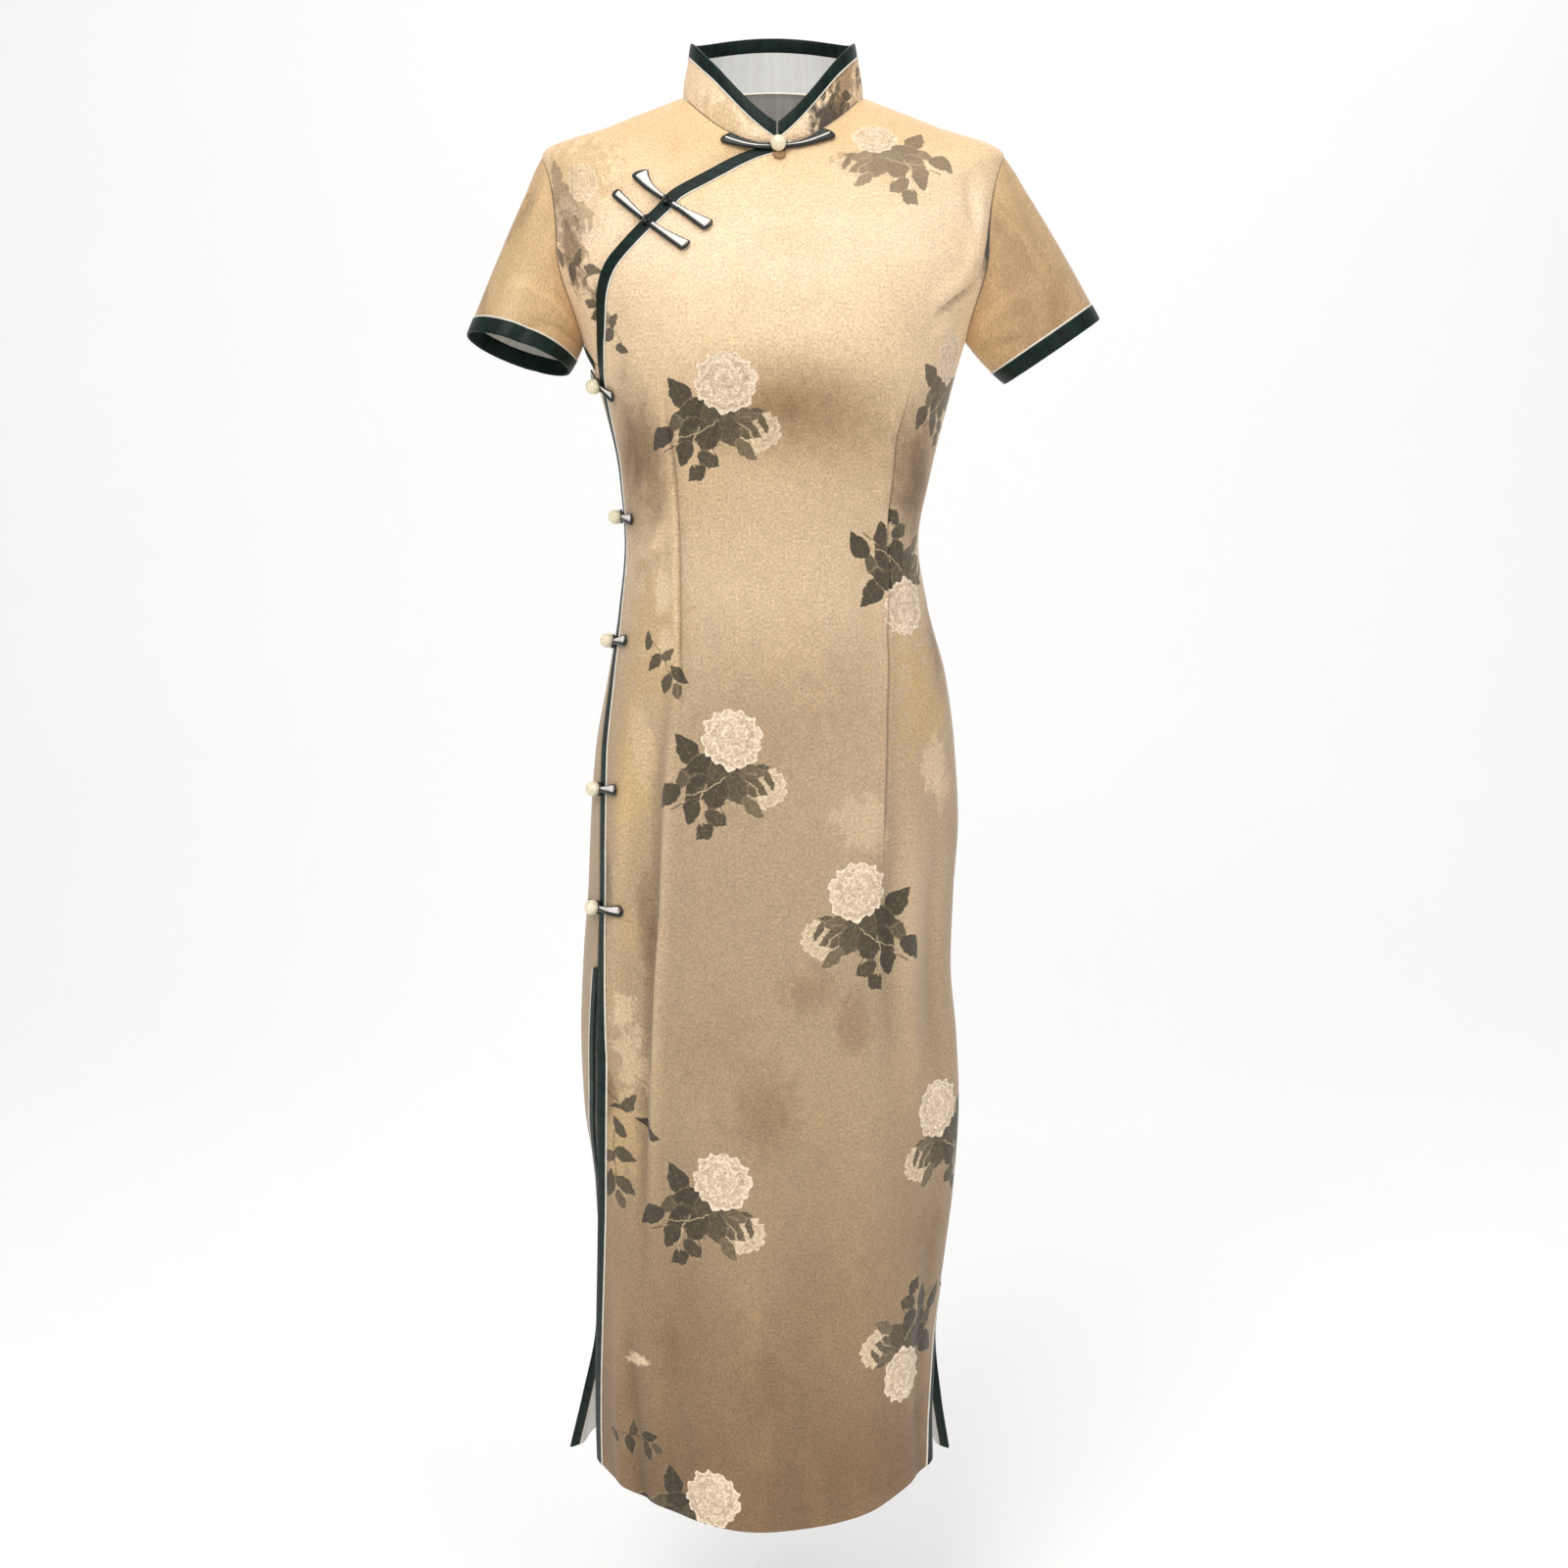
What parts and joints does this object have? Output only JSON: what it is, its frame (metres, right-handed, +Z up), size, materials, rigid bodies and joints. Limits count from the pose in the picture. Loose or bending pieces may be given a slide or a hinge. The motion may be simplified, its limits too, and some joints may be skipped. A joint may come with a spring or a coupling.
{
  "type": "cheongsam dress",
  "caption": "Long short-sleeved cheongsam with standing collar, bound diagonal front opening, side slits and ball buttons, held in its worn form.",
  "frame": {"origin": "midway between the two side neck points and the shoulder tips, inside the shoulders where the dress is held up", "axes": "+Z up the dress, front faces -Y, +X to the wearer's left"},
  "size_m": [0.5182, 0.2526, 1.2332],
  "materials": {
    "back_left_slit_binding": "dark green satin",
    "back_left_slit_piping": "white satin cord",
    "back_panel": "cream to tan printed satin with a soft sheen",
    "back_right_slit_binding": "dark green satin",
    "back_right_slit_piping": "white satin cord",
    "collar": "cream to tan printed satin with a soft sheen",
    "collar_binding": "dark green satin",
    "collar_piping": "white satin cord",
    "cuff_binding_left": "dark green satin",
    "cuff_binding_right": "dark green satin",
    "cuff_piping_left": "white satin cord",
    "cuff_piping_right": "white satin cord",
    "front_left_slit_binding": "dark green satin",
    "front_left_slit_piping": "white satin cord",
    "front_opening_binding": "dark green satin",
    "front_opening_piping": "white satin cord",
    "front_panel": "cream to tan printed satin with a soft sheen",
    "knot_chest_lower_knot": "dark green satin",
    "knot_chest_lower_strip_a": "dark green satin",
    "knot_chest_lower_strip_b": "dark green satin",
    "knot_chest_upper_knot": "dark green satin",
    "knot_chest_upper_strip_a": "dark green satin",
    "knot_chest_upper_strip_b": "dark green satin",
    "knot_hip_ball": "glossy cream, like a pearl",
    "knot_hip_strip_a": "dark green satin",
    "knot_hip_strip_b": "dark green satin",
    "knot_neck_ball": "glossy cream, like a pearl",
    "knot_neck_strip_left": "dark green satin",
    "knot_neck_strip_right": "dark green satin",
    "knot_thigh_lower_ball": "glossy cream, like a pearl",
    "knot_thigh_lower_strip_a": "dark green satin",
    "knot_thigh_lower_strip_b": "dark green satin",
    "knot_thigh_upper_ball": "glossy cream, like a pearl",
    "knot_thigh_upper_strip_a": "dark green satin",
    "knot_thigh_upper_strip_b": "dark green satin",
    "knot_underarm_ball": "glossy cream, like a pearl",
    "knot_underarm_strip_a": "dark green satin",
    "knot_underarm_strip_b": "dark green satin",
    "knot_waist_ball": "glossy cream, like a pearl",
    "knot_waist_strip_a": "dark green satin",
    "knot_waist_strip_b": "dark green satin",
    "sleeve_left": "cream to tan printed satin with a soft sheen",
    "sleeve_right": "cream to tan printed satin with a soft sheen",
    "under_flap": "cream to tan printed satin with a soft sheen",
    "underarm_binding": "dark green satin"
  },
  "bodies": {
    "root": {"back_left_slit_binding": "back_left_slit_binding", "back_left_slit_piping": "back_left_slit_piping", "back_panel": "back_panel", "back_right_slit_binding": "back_right_slit_binding", "back_right_slit_piping": "back_right_slit_piping", "collar": "collar", "collar_binding": "collar_binding", "collar_piping": "collar_piping", "cuff_binding_left": "cuff_binding_left", "cuff_binding_right": "cuff_binding_right", "cuff_piping_left": "cuff_piping_left", "cuff_piping_right": "cuff_piping_right", "front_left_slit_binding": "front_left_slit_binding", "front_left_slit_piping": "front_left_slit_piping", "front_opening_binding": "front_opening_binding", "front_opening_piping": "front_opening_piping", "front_panel": "front_panel", "knot_chest_lower_knot": "knot_chest_lower_knot", "knot_chest_lower_strip_a": "knot_chest_lower_strip_a", "knot_chest_lower_strip_b": "knot_chest_lower_strip_b", "knot_chest_upper_knot": "knot_chest_upper_knot", "knot_chest_upper_strip_a": "knot_chest_upper_strip_a", "knot_chest_upper_strip_b": "knot_chest_upper_strip_b", "knot_hip_ball": "knot_hip_ball", "knot_hip_strip_a": "knot_hip_strip_a", "knot_hip_strip_b": "knot_hip_strip_b", "knot_neck_ball": "knot_neck_ball", "knot_neck_strip_left": "knot_neck_strip_left", "knot_neck_strip_right": "knot_neck_strip_right", "knot_thigh_lower_ball": "knot_thigh_lower_ball", "knot_thigh_lower_strip_a": "knot_thigh_lower_strip_a", "knot_thigh_lower_strip_b": "knot_thigh_lower_strip_b", "knot_thigh_upper_ball": "knot_thigh_upper_ball", "knot_thigh_upper_strip_a": "knot_thigh_upper_strip_a", "knot_thigh_upper_strip_b": "knot_thigh_upper_strip_b", "knot_underarm_ball": "knot_underarm_ball", "knot_underarm_strip_a": "knot_underarm_strip_a", "knot_underarm_strip_b": "knot_underarm_strip_b", "knot_waist_ball": "knot_waist_ball", "knot_waist_strip_a": "knot_waist_strip_a", "knot_waist_strip_b": "knot_waist_strip_b", "sleeve_left": "sleeve_left", "sleeve_right": "sleeve_right", "under_flap": "under_flap", "underarm_binding": "underarm_binding"}
  },
  "joints": []
}
